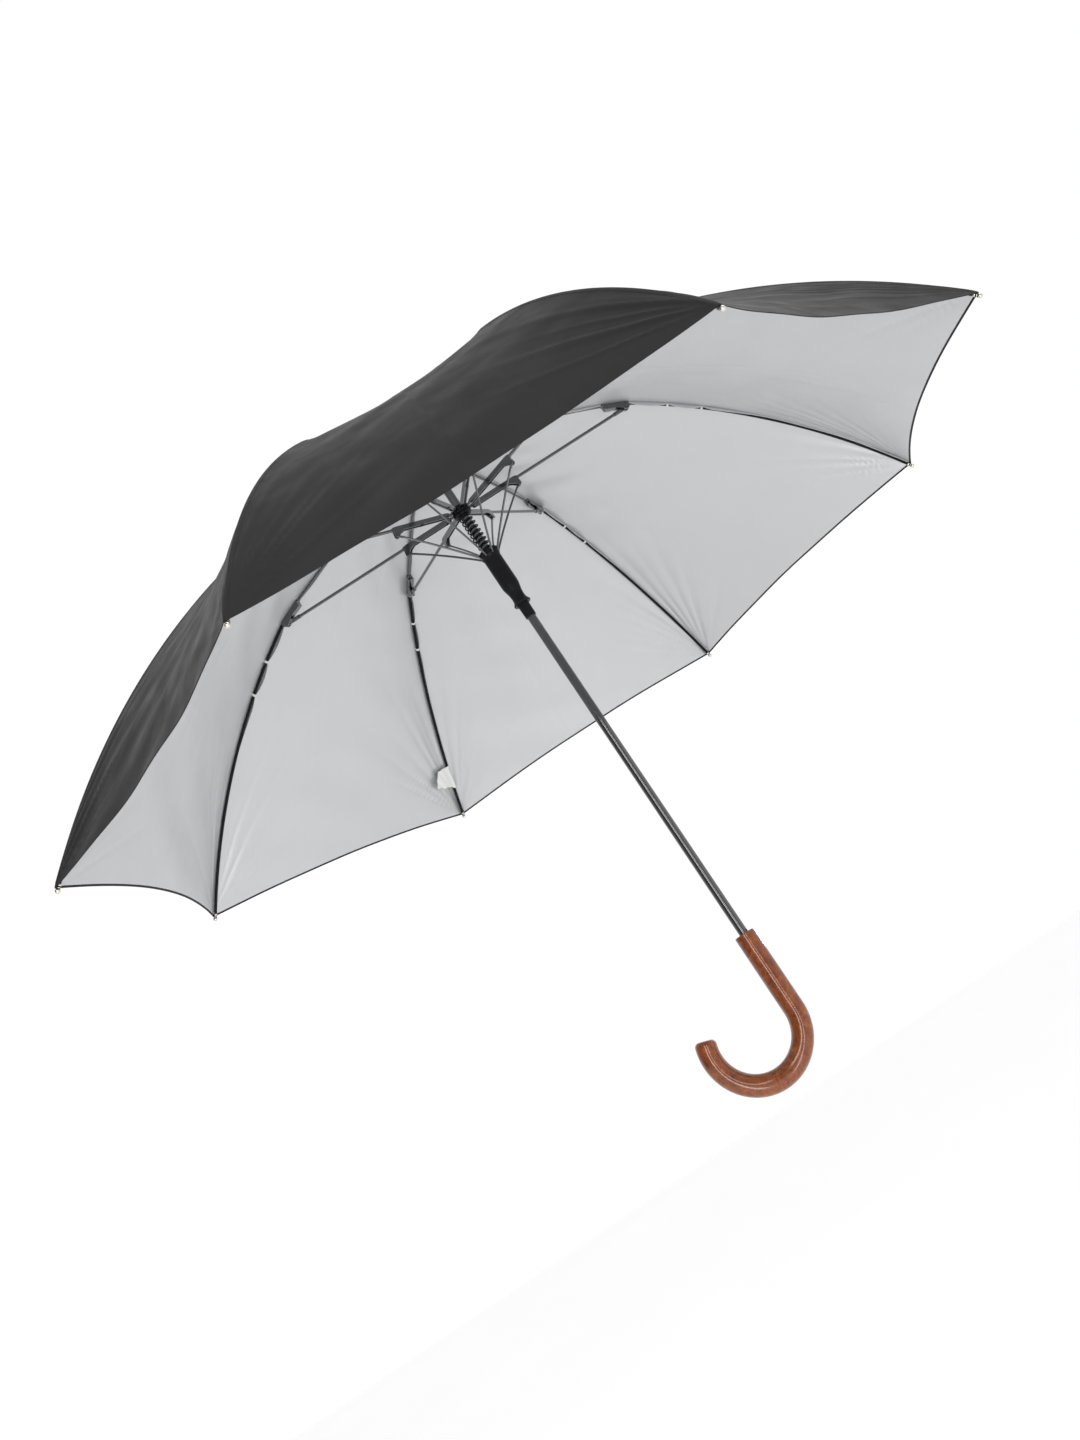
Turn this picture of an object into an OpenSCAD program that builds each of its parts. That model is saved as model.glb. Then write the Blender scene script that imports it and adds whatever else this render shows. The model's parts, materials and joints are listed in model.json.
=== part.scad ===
// Stick umbrella, automatic opening, eight ribs, crook handle. Millimetres, +Z up the shaft.
// The origin is in the middle of the hand grip, on the shaft's axis. Stored open.

/* [Canopy] */
// Height of the crown plane above the grip's middle
crown_z = 680; // [560:1:760]
// Length of one rib along its curve
rib_length = 635; // [560:5:700]
// Slope of the outer rod where it leaves its joint block, degrees
outer_slope = 24; // [18:0.5:32]
// Bend of the outer rod from block to tip, degrees
outer_bend = 29.6; // [20:0.2:36]
// How far the hem is pulled in between two tips, as a share of the rib
hem_inset = 0.028; // [0:0.002:0.08]
// Inward sag of a panel's middle, as a share of its width
panel_sag = 0.044; // [0:0.002:0.08]
// Thickness of the canopy solid
cloth_t = 0.4; // [0.3:0.1:1.2]

/* [Ribs] */
// Diameter of the inner rod of a rib
inner_rod_d = 3.2; // [2.5:0.1:4]
// Diameter of the outer rod of a rib
outer_rod_d = 3.5; // [2.5:0.1:4.5]
// Diameter of the ball tip
tip_d = 5; // [4:0.1:7]
// Distance of the joint block's rod end from the shaft's axis
block_r = 264.6; // [230:0.1:290]
// Drop of the joint block's rod end below the crown plane
block_drop = 44.4; // [30:0.1:80]
// Distance of the stretcher pivot below the rod
pivot_drop = 6; // [5.5:0.1:9]

/* [Stretchers and links] */
// Length of the thick sheathed part of a stretcher
sheath_length = 76; // [60:1:100]
// Height of the sheath
sheath_h = 6; // [4:0.1:7]
// Diameter of the thin part of a stretcher
stretcher_d = 3.8; // [2.5:0.1:4]
// Place of the link's boss along the stretcher
boss_at = 72.5; // [60:0.5:90]
// Hang of the link's pivot below the stretcher
boss_drop = 7.5; // [7:0.5:10]
// Diameter of the link wire
link_d = 2.4; // [1.6:0.1:2.4]

/* [Runner and hub] */
// Height of the runner's link pivots below the crown plane
runner_pivot_drop = 154; // [140:1:180]
// Length of the runner
runner_length = 91; // [80:1:100]
// Outer diameter of the damper spring
damper_d = 15.6; // [12:0.1:15.6]
// Turns of the damper spring
damper_turns = 12; // [8:1:16]

/* [Shaft and ferrule] */
// Outer diameter of the shaft tube
shaft_d = 10; // [8:0.1:14]
// Inner diameter of the shaft tube
shaft_id = 8.4; // [6.4:0.1:12]
// Height of the ferrule's tip above the crown plane
ferrule_tip = 57; // [40:1:80]

/* [Handle] */
// Diameter of the handle
handle_d = 22; // [18:0.5:28]
// Top of the handle above the grip's middle
handle_top = 42; // [35:1:60]
// Length of the handle's straight part
handle_straight = 83; // [70:1:110]
// Radius of the crook's centre line
crook_r = 47.5; // [40:0.5:60]
// Sweep of the crook, degrees
crook_sweep = 197; // [180:1:215]

/* [Hidden] */
$fn = 48;
notch_r = 8.5;
notch_z = crown_z - 10;
block_z = crown_z - block_drop;
block_slope = 2 * atan((notch_z - block_z) / (block_r - notch_r));
inner_chord = norm([block_r - notch_r, notch_z - block_z]);
inner_R = inner_chord / (2 * sin(block_slope / 2));
inner_len = inner_R * block_slope * PI / 180;
outer_len = rib_length - inner_len;
outer_R = outer_len / (outer_bend * PI / 180);
pivot_r = block_r - pivot_drop * sin(block_slope);
pivot_z = block_z - pivot_drop * cos(block_slope);
hub_r = notch_r;
hub_z = 2 * pivot_z - notch_z;
arm_len = norm([pivot_r - hub_r, pivot_z - hub_z]);
arm_slope = atan((pivot_z - hub_z) / (pivot_r - hub_r));
boss_r = hub_r + boss_at * cos(arm_slope) + boss_drop * sin(arm_slope);
boss_z = hub_z + boss_at * sin(arm_slope) - boss_drop * cos(arm_slope);
runner_r = 9.9;
runner_pz = crown_z - runner_pivot_drop;
runner_top = runner_pz + 6;
runner_bot = runner_top - runner_length;
link_len = norm([boss_r - runner_r, boss_z - runner_pz]);
link_slope = atan((boss_z - runner_pz) / (boss_r - runner_r));
handle_low = handle_top - handle_straight;
plunger_z = runner_top - 30;
plunger_low = 103;
seat_z = 20;
canopy_rise = 2.8;
canopy_s0 = 4.5;
wood = [0.58, 0.29, 0.13];
black = [0.07, 0.07, 0.08];
cloth = [0.16, 0.16, 0.17];
metal = [0.78, 0.79, 0.80];
white = [0.93, 0.93, 0.91];

// Slope of the rib, in degrees below the horizontal, at a distance s along it
function slope(s) = s <= inner_len ? block_slope * s / inner_len
    : outer_slope + outer_bend * (s - inner_len) / outer_len;
// Point [r, z] of the rib's centre line at s, moved h outward along its normal
function rib_point(s, h) = s <= inner_len
    ? [notch_r + inner_R * sin(slope(s)) + h * sin(slope(s)),
       notch_z - inner_R * (1 - cos(slope(s))) + h * cos(slope(s))]
    : [block_r + outer_R * (sin(slope(s)) - sin(outer_slope)) + h * sin(slope(s)),
       block_z - outer_R * (cos(outer_slope) - cos(slope(s))) + h * cos(slope(s))];

function around(k) = 22.5 + 45 * (k - 1);

// A rod bent to a circular arc in the XZ plane; angles run from +X towards +Z
module arc_rod(c, R, a0, a1, d) {
    translate([c[0], 0, c[1]])
    rotate([90, 0, 0])
    rotate([0, 0, a0])
    rotate_extrude(angle = a1 - a0, $fn = 180)
    translate([R, 0])
    circle(d = d, $fn = 24);
}

// A round boss across the XZ plane
module cross_pin(p, d, w) {
    translate([p[0], w / 2, p[1]])
    rotate([90, 0, 0])
    cylinder(h = w, d = d, $fn = 32);
}

// A flat bar in the XZ plane that starts at p and climbs at angle a
module bar(p, a, from, to, h, w, off = 0) {
    translate([p[0], 0, p[1]])
    rotate([0, -a, 0])
    translate([from, -w / 2, off - h / 2])
    cube([to - from, w, h]);
}

// A flat plate in the XZ plane: outline points are [along, up] from p, turned to climb at angle a
module plate(p, a, outline, w) {
    translate([p[0], 0, p[1]])
    rotate([0, -a, 0])
    rotate([90, 0, 0])
    linear_extrude(height = w, center = true)
    polygon(outline);
}

module ring_wire(z, r, d) {
    translate([0, 0, z])
    rotate_extrude($fn = 96)
    translate([r, 0])
    circle(d = d, $fn = 20);
}

// A helical spring about +Z
module coil(r, wire, z0, z1, turns, n, m) {
    steps = turns * n;
    pts = [for (i = [0 : steps]) for (j = [0 : m - 1])
        let (a = 360 * i / n, b = 360 * j / m, q = r + wire / 2 * cos(b))
        [q * cos(a), q * sin(a), z0 + (z1 - z0) * i / steps + wire / 2 * sin(b)]];
    sides = [for (i = [0 : steps - 1]) for (j = [0 : m - 1])
        let (k = (j + 1) % m) each [[i * m + j, (i + 1) * m + j, (i + 1) * m + k],
            [i * m + j, (i + 1) * m + k, i * m + k]]];
    caps = [[for (j = [0 : m - 1]) j], [for (j = [m - 1 : -1 : 0]) steps * m + j]];
    polyhedron(pts, concat(sides, caps), convexity = 8);
}

module shaft_tube() color(black) difference() {
    translate([0, 0, -25])
    cylinder(h = crown_z + 45, d = shaft_d);
    translate([0, 0, -26])
    cylinder(h = crown_z + 47, d = shaft_id);
    translate([-1.3, -shaft_d, plunger_low - 1.6])
    cube([2.6, shaft_d, plunger_z - plunger_low + 3.2]);
}

module ferrule() color(black) difference() {
    translate([0, 0, crown_z])
    rotate_extrude() polygon([[0, -4.4], [11.2, -4.4], [12.1, -3.4], [12.1, 2.5], [10.8, 7],
        [9, 9.5], [8.8, 11], [6.2, ferrule_tip - 4], [5.6, ferrule_tip - 1.8],
        [4.6, ferrule_tip - 0.6], [3.2, ferrule_tip], [0, ferrule_tip]]);
    translate([0, 0, crown_z - 10])
    cylinder(h = 30.4, d = shaft_d + 0.1);
}

module crown_cap() color(cloth) difference() {
    translate([0, 0, crown_z - 5.6])
    cylinder(h = 0.9, r = 17);
    translate([0, 0, crown_z - 7])
    cylinder(h = 4, d = shaft_d + 0.4);
}

module top_notch() color(black) difference() {
    translate([0, 0, crown_z - 19])
    cylinder(h = 13, r = 11.2);
    translate([0, 0, crown_z - 20])
    cylinder(h = 15, d = shaft_d + 0.1);
    for (k = [1 : 8]) rotate([0, 0, around(k)])
        translate([6.2, -1.15, crown_z - 20])
        cube([8, 2.3, 12.4]);
    ring_wire(notch_z, notch_r, 1);
}

module notch_wire() color(metal) ring_wire(notch_z, notch_r, 0.8);

module handle() color(wood) difference() {
    union() {
        translate([0, 0, handle_low])
        rounded_rod(handle_d / 2, handle_straight, 1.2);
        translate([crook_r, 0, handle_low])
        rotate([90, 0, 0])
        rotate([0, 0, 180])
        rotate_extrude(angle = crook_sweep, $fn = 180)
        translate([crook_r, 0])
        circle(d = handle_d, $fn = 64);
        translate([crook_r, 0, handle_low])
        rotate([0, 180 - crook_sweep, 0])
        translate([crook_r, 0, -0.5])
        rounded_rod(handle_d / 2 - 0.02, 6.5, 5);
    }
    translate([0, 0, -25.5])
    cylinder(h = 80, d = shaft_d + 0.1);
    translate([-12, -4.2, 20])
    cube([4.6, 8.4, 30]);
    translate([-8, -2.8, 22.9])
    cube([1.4, 5.6, 18.2]);
    translate([-8, 0, 32])
    rotate([0, 90, 0])
    cylinder(h = 4, d = 4.4);
}

// An upright rod whose top edge is rounded by f
module rounded_rod(r, h, f) {
    rotate_extrude($fn = 64)
    polygon(concat([[0, 0], [r, 0]],
        [for (a = [0 : 15 : 90]) [r - f + f * cos(a), h - f + f * sin(a)]], [[0, h]]));
}

module button_plate() color(metal) difference() {
    translate([-11.1, -4, 20.3])
    cube([3.5, 8, 24.7]);
    translate([-12, -2.7, 23])
    cube([5, 5.4, 18]);
}

module push_button() color(metal) {
    translate([-11.8, -2.35, 23.4])
    cube([3.2, 4.7, 17.2]);
    translate([-8.7, 0, 32])
    rotate([0, 90, 0])
    cylinder(h = 1, d = 1.6, $fn = 24);
}

module button_spring() color(metal)
    translate([-5.2, 0, 32])
    rotate([0, -90, 0])
    coil(1.5, 0.45, 0.25, 3.1, 3, 12, 5);

module spring_seat() color(metal)
    translate([0, 0, seat_z - 14])
    cylinder(h = 13.3, d = shaft_id - 0.1);

module opening_spring() color(metal)
    coil(3.25, 1.1, seat_z, plunger_z - 7.8, 40, 10, 5);

module spring_plunger() color(metal) {
    translate([0, 0, plunger_z - 7])
    cylinder(h = 14, d = shaft_id - 0.4);
    translate([0, 0, plunger_z])
    rotate([90, 0, 0])
    cylinder(h = 9, d = 2, $fn = 32);
}

module hub() color(black) difference() {
    translate([0, 0, hub_z - 5])
    cylinder(h = 10, r = 10.8);
    translate([0, 0, hub_z - 6])
    cylinder(h = 12, d = shaft_d + 0.7);
    for (k = [1 : 8]) rotate([0, 0, around(k)]) {
        translate([5.9, -1.5, hub_z - 3])
        cube([8, 3, 10]);
        translate([9.3, -1.5, hub_z - 6])
        cube([5, 3, 12]);
    }
    ring_wire(hub_z, hub_r, 1.1);
}

module hub_wire() color(metal) ring_wire(hub_z, hub_r, 0.9);

module runner() color(black) difference() {
    translate([0, 0, runner_top])
    rotate_extrude() polygon([[0, -runner_length], [6.3, -runner_length], [6.6, 17.5 - runner_length],
        [9.6, 17.2 - runner_length], [10.3, 18.4 - runner_length], [9.2, 20 - runner_length],
        [7.9, 23 - runner_length], [7.5, 27 - runner_length], [8, 33 - runner_length],
        [9.3, 38.5 - runner_length], [10, 42 - runner_length], [10.2, 45 - runner_length],
        [10.2, -9.5], [11.6, -6.5], [11.6, 0], [0, 0]]);
    translate([0, 0, runner_bot - 1])
    cylinder(h = runner_length + 2, d = shaft_d + 0.7);
    translate([0, 0, runner_top - 15])
    cylinder(h = 16, r = damper_d / 2 + 0.3);
    for (k = [1 : 8]) rotate([0, 0, around(k)])
        translate([7.9, -1.5, runner_pz - 2.6])
        cube([5, 3, 10]);
    ring_wire(runner_pz, runner_r, 1);
    translate([0, 0, plunger_z])
    rotate([90, 0, 0])
    cylinder(h = 9.3, d = 2.1, $fn = 32);
}

module runner_wire() color(metal) ring_wire(runner_pz, runner_r, 0.8);

module damper_spring() color(black)
    coil(damper_d / 2 - 0.9, 1.8, runner_top - 14, hub_z - 6, damper_turns, 16, 6);

// Inner rod with its eye at the notch and the moulded block at its outer end
module rib_inner(k) color(black) rotate([0, 0, around(k)]) {
    difference() {
        union() {
            cross_pin([notch_r, notch_z], 3.8, 1.6);
            bar([notch_r, notch_z], -0.4, 0, 12, 2.6, 1.6);
            arc_rod([notch_r, notch_z - inner_R], inner_R, 90 - block_slope * 0.985, 89.35, inner_rod_d);
            plate([block_r, block_z], -block_slope, [[-31, 1.2], [-31, -1.4], [-29.4, -2], [-28.8, -6.2],
                [-27.8, -6.8], [-20, -6.8], [-18.4, -6], [-9, -pivot_drop - 1], [-4, -pivot_drop - 2.9],
                [0, -pivot_drop - 3.3], [2.4, -pivot_drop - 2.6], [4.2, -pivot_drop - 0.4], [4.8, -3],
                [4.4, -0.4], [3, 1.2]], 6.6);
            cross_pin([pivot_r, pivot_z], 5.4, 7);
        }
        cross_pin([notch_r, notch_z], 1.3, 3);
        bar([block_r, block_z], -block_slope, -6.2, 8, 30, 2.8);
        bar([pivot_r, pivot_z], -block_slope, -14, -3, 16, 2.8, -4.4);
    }
    cross_pin([block_r, block_z], 1.8, 7.6);
    cross_pin([pivot_r, pivot_z], 1.8, 7.6);
}

// Outer rod with its knuckle in the block and the ball tip at its end
module rib_outer(k) rotate([0, 0, around(k)]) {
    c = [block_r - outer_R * sin(outer_slope), block_z - outer_R * cos(outer_slope)];
    tip = rib_point(rib_length, 0);
    color(black) difference() {
        union() {
            cross_pin([block_r, block_z], 4.2, 2.2);
            bar([block_r, block_z], -outer_slope, 0, 9.5, 3, 2.2);
            arc_rod(c, outer_R, 90 - outer_slope - outer_bend, 90 - outer_slope - 0.63, outer_rod_d);
        }
        cross_pin([block_r, block_z], 2.3, 4);
    }
    color(metal) translate([tip[0], 0, tip[1]])
    rotate([0, 90 + outer_slope + outer_bend, 0]) {
        translate([0, 0, -4])
        cylinder(h = 5, d = 4.1, $fn = 32);
        translate([0, 0, 2])
        sphere(d = tip_d, $fn = 32);
    }
}

// Stretcher: an eye and a grooved sheath at the hub's end, then a rod with a fitting at the block's end
module stretcher(k) color(black) rotate([0, 0, around(k)]) {
    h = [hub_r, hub_z];
    half = sheath_h / 2;
    boss = [boss_r, boss_z];
    difference() {
        union() {
            cross_pin(h, 3, 2.2);
            bar(h, arm_slope, 0, 9, 3.2, 2.2, 0.5);
            plate(h, arm_slope, [[6.5, -1], [6.5, half - 1], [8.5, half], [sheath_length - 5, half],
                [sheath_length, half - 0.8], [sheath_length, -1]], 4.2);
            plate(h, arm_slope, concat([[8, 1], [8, 0.7 - half], [9.5, -half], [boss_at - 10, -half],
                [boss_at - 5.5, -half - 2.4]],
                [for (a = [190 : 17 : 360]) [boss_at + 3 * cos(a), 3 * sin(a) - boss_drop]],
                [[boss_at + 3, 0.6 - half], [sheath_length, 1.2 - half], [sheath_length, 1]]), 5.2);
            translate([h[0], 0, h[1]])
            rotate([0, 90 - arm_slope, 0]) {
                translate([0, 0, sheath_length - 4])
                cylinder(h = arm_len - sheath_length - 11, d = stretcher_d, $fn = 24);
                translate([0, 0, arm_len - 20])
                cylinder(h = 9, d = 5, $fn = 32);
            }
            bar(h, arm_slope, arm_len - 16, arm_len, 4.4, 2.2);
            cross_pin([pivot_r, pivot_z], 5.2, 2.2);
        }
        cross_pin(h, 1.6, 4);
        cross_pin([pivot_r, pivot_z], 2.3, 4);
        bar(h, arm_slope, 7, boss_at - 3.2, 11, 3, -6.7);
        bar(boss, arm_slope, -4, 4, 6.6, 2.2, -0.8);
    }
    cross_pin(boss, 1.1, 5.8);
}

// Wire link, bent a little, with an eye at each end
module link(k) color(black) rotate([0, 0, around(k)]) {
    bulge = 1.4;
    R = (link_len * link_len / 4 + bulge * bulge) / (2 * bulge);
    half = asin(link_len / 2 / R);
    mid = [(boss_r + runner_r) / 2, (boss_z + runner_pz) / 2];
    c = [mid[0] + (R - bulge) * sin(link_slope), mid[1] - (R - bulge) * cos(link_slope)];
    trim = 2.4 / R * 180 / PI;
    difference() {
        union() {
            cross_pin([boss_r, boss_z], 3.8, 1.5);
            cross_pin([runner_r, runner_pz], 3.2, 1.5);
            arc_rod(c, R, 90 + link_slope - half + trim * 1.4, 90 + link_slope + half - trim * 1.5, link_d);
            bar([boss_r, boss_z], link_slope + half, -6, -1, 1.9, 1.5);
            bar([runner_r, runner_pz], link_slope + half, 1, 6, 1.9, 1.5);
        }
        cross_pin([boss_r, boss_z], 1.7, 4);
        cross_pin([runner_r, runner_pz], 1.5, 4);
    }
}

// A panel point in the frame of one rib: t runs from -0.5 to 0.5 between the panels' middles
function cloth_point(s, t, h) =
    let (q = 4 * abs(t) * (1 - abs(t)), s1 = s * (1 - hem_inset * q), p = rib_point(s1, 0),
        g = h - panel_sag * q * 0.765 * p[0], a = slope(s1),
        r = p[0] + g * sin(a), z = p[1] + g * cos(a), u = 1 - abs(t) * (1 - cos(45)))
    [r * u, r * t * sin(45), z];

function quad(a, b, c, d) = [[a, b, c], [a, c, d]];

module canopy(k) color(cloth) rotate([0, 0, around(k)]) {
    ns = 20;
    nt = 10;
    row = nt + 1;
    low = canopy_rise - cloth_t / 2;
    pts = [for (h = [low, low + cloth_t]) for (i = [0 : ns]) for (j = [0 : nt])
        let (s = i <= 8 ? canopy_s0 + (inner_len - canopy_s0) * i / 8 : inner_len + outer_len * (i - 8) / (ns - 8),
            edge = 0.5 - 0.3 / (0.765 * rib_point(s, 0)[0]))
        cloth_point(s, edge * (2 * j / nt - 1), h)];
    top = (ns + 1) * row;
    faces = concat(
        [for (i = [0 : ns - 1]) for (j = [0 : nt - 1]) let (a = i * row + j)
            each quad(a, a + row, a + row + 1, a + 1)],
        [for (i = [0 : ns - 1]) for (j = [0 : nt - 1]) let (a = top + i * row + j)
            each quad(a, a + 1, a + row + 1, a + row)],
        [for (j = [0 : nt - 1]) each quad(j, j + 1, top + j + 1, top + j)],
        [for (j = [0 : nt - 1]) let (a = ns * row + j) each quad(a + 1, a, top + a, top + a + 1)],
        [for (i = [0 : ns - 1]) let (a = i * row) each quad(a + row, a, top + a, top + a + row)],
        [for (i = [0 : ns - 1]) let (a = i * row + nt) each quad(a, a + row, top + a + row, top + a)]);
    polyhedron(pts, faces, convexity = 6);
}

// Strap along the seam of the sixth rib, on the canopy's outer face
module closure_strap() color(cloth) rotate([0, 0, around(6)]) {
    c = [block_r - outer_R * sin(outer_slope), block_z - outer_R * cos(outer_slope)];
    translate([c[0], 0, c[1]])
    rotate([90, 0, 0])
    rotate([0, 0, 90 - outer_slope - 27])
    rotate_extrude(angle = 12.5, $fn = 180)
    translate([outer_R + 3.6, -10])
    square([1.2, 20]);
}

module strap_snap() color(metal) rotate([0, 0, around(6)]) {
    p = rib_point(inner_len + outer_len * 25.6 / outer_bend, 5.1);
    translate([p[0], 0, p[1]])
    rotate([0, outer_slope + 25.6, 0])
    cylinder(h = 1.6, d1 = 12, d2 = 9, $fn = 32);
}

// Blank label that hangs beside the seventh rib, under the next half panel
module care_label() color(white) rotate([0, 0, around(7)]) {
    p = rib_point(rib_length - 64, -2.6);
    translate([p[0], 0, p[1]])
    rotate([0, 0, 22.5])
    rotate([0, outer_slope + outer_bend - 4, 0])
    translate([-16, 3, -7])
    cube([32, 28, 0.6]);
}

shaft_tube();
ferrule();
crown_cap();
top_notch();
notch_wire();
handle();
button_plate();
push_button();
button_spring();
spring_seat();
opening_spring();
spring_plunger();
hub();
hub_wire();
runner();
runner_wire();
damper_spring();
closure_strap();
strap_snap();
care_label();
rib_inner(1);  // rib_inner_1
rib_inner(2);  // rib_inner_2
rib_inner(3);  // rib_inner_3
rib_inner(4);  // rib_inner_4
rib_inner(5);  // rib_inner_5
rib_inner(6);  // rib_inner_6
rib_inner(7);  // rib_inner_7
rib_inner(8);  // rib_inner_8
rib_outer(1);  // rib_outer_1
rib_outer(2);  // rib_outer_2
rib_outer(3);  // rib_outer_3
rib_outer(4);  // rib_outer_4
rib_outer(5);  // rib_outer_5
rib_outer(6);  // rib_outer_6
rib_outer(7);  // rib_outer_7
rib_outer(8);  // rib_outer_8
stretcher(1);  // stretcher_1
stretcher(2);  // stretcher_2
stretcher(3);  // stretcher_3
stretcher(4);  // stretcher_4
stretcher(5);  // stretcher_5
stretcher(6);  // stretcher_6
stretcher(7);  // stretcher_7
stretcher(8);  // stretcher_8
link(1);  // link_1
link(2);  // link_2
link(3);  // link_3
link(4);  // link_4
link(5);  // link_5
link(6);  // link_6
link(7);  // link_7
link(8);  // link_8
canopy(1);  // canopy_1
canopy(2);  // canopy_2
canopy(3);  // canopy_3
canopy(4);  // canopy_4
canopy(5);  // canopy_5
canopy(6);  // canopy_6
canopy(7);  // canopy_7
canopy(8);  // canopy_8
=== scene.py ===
"""Open stick umbrella: cloth, wood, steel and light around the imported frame. Metres, +Z up the shaft."""
import json
import math

import bpy
import numpy as np
from mathutils import Matrix, Quaternion, Vector


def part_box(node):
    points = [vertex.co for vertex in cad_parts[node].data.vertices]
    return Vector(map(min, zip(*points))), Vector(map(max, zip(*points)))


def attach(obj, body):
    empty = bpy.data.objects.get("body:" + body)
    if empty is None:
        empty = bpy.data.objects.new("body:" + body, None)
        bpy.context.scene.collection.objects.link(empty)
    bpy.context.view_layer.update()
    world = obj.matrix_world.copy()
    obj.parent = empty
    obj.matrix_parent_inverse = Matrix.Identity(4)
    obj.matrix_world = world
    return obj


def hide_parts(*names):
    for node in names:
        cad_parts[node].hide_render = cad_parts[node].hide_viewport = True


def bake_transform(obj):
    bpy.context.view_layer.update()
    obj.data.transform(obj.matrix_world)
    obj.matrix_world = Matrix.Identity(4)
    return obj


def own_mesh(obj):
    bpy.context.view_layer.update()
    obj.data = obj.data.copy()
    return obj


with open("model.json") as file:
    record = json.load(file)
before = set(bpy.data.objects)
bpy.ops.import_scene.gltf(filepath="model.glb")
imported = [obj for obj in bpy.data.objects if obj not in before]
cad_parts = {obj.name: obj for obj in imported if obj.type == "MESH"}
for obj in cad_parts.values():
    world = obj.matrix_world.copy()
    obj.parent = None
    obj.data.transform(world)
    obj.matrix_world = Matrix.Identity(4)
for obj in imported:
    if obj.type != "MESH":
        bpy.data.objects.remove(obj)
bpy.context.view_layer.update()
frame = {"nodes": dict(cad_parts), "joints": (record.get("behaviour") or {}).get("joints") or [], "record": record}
RANDOM = np.random.default_rng(11)
MM = 0.001

# ---------------------------------------------------------------- places, from the frame's joints
JOINTS = {j["name"]: j for j in frame["joints"]}
RIBS = range(1, 9)


def axial(joint):
    """Distance from the shaft's axis and height of a hinge."""
    x, y, z = JOINTS[joint]["pos_m"]
    return math.hypot(x, y), z


NOTCH_R, NOTCH_Z = axial("canopy_fold")
BLOCK_R, BLOCK_Z = axial("rib_1_flex")
HUB_Z = axial("hub_pivot")[1]
CROWN_Z = NOTCH_Z + 10 * MM
RUNNER_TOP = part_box("runner")[1].z

RIB_LENGTH = 0.635
OUTER_SLOPE = math.radians(24)
OUTER_BEND_DEGREES = 29.6
OUTER_BEND = math.radians(OUTER_BEND_DEGREES)
HEM_INSET = 0.028
PANEL_SAG = 0.044
CANOPY_RISE = 2.8 * MM
CLOTH_START = 4.5 * MM
BLOCK_SLOPE = 2 * math.atan((NOTCH_Z - BLOCK_Z) / (BLOCK_R - NOTCH_R))
INNER_R = math.hypot(BLOCK_R - NOTCH_R, NOTCH_Z - BLOCK_Z) / (2 * math.sin(BLOCK_SLOPE / 2))
INNER_LEN = INNER_R * BLOCK_SLOPE
OUTER_LEN = RIB_LENGTH - INNER_LEN
OUTER_R = OUTER_LEN / OUTER_BEND
HALF_SECTOR = 22.5
CHORD = 2 * math.sin(math.radians(HALF_SECTOR))


def slope(s):
    inner = BLOCK_SLOPE * s / INNER_LEN
    outer = OUTER_SLOPE + OUTER_BEND * (s - INNER_LEN) / OUTER_LEN
    return np.where(s <= INNER_LEN, inner, outer)


def rib_line(s):
    """Radius and height of a rib's centre line at a distance s along it."""
    a = slope(s)
    inner_r = NOTCH_R + INNER_R * np.sin(a)
    inner_z = NOTCH_Z - INNER_R * (1 - np.cos(a))
    outer_r = BLOCK_R + OUTER_R * (np.sin(a) - math.sin(OUTER_SLOPE))
    outer_z = BLOCK_Z - OUTER_R * (math.cos(OUTER_SLOPE) - np.cos(a))
    return np.where(s <= INNER_LEN, inner_r, outer_r), np.where(s <= INNER_LEN, inner_z, outer_z)


def rib_axes(k):
    """Unit vectors out along rib k and across it."""
    x, y, _ = JOINTS[f"rib_{k}_flex"]["pos_m"]
    return Vector((x, y, 0)).normalized(), Vector((-y, x, 0)).normalized()


def on_rib(k, s, h=0.0, b=0.0):
    """World point at s along rib k, h out along its normal and b across."""
    r, z = (float(v) for v in rib_line(np.array(s)))
    a = float(slope(np.array(s)))
    out, side = rib_axes(k)
    return out * (r + h * math.sin(a)) + side * b + Vector((0, 0, z + h * math.cos(a)))


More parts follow.
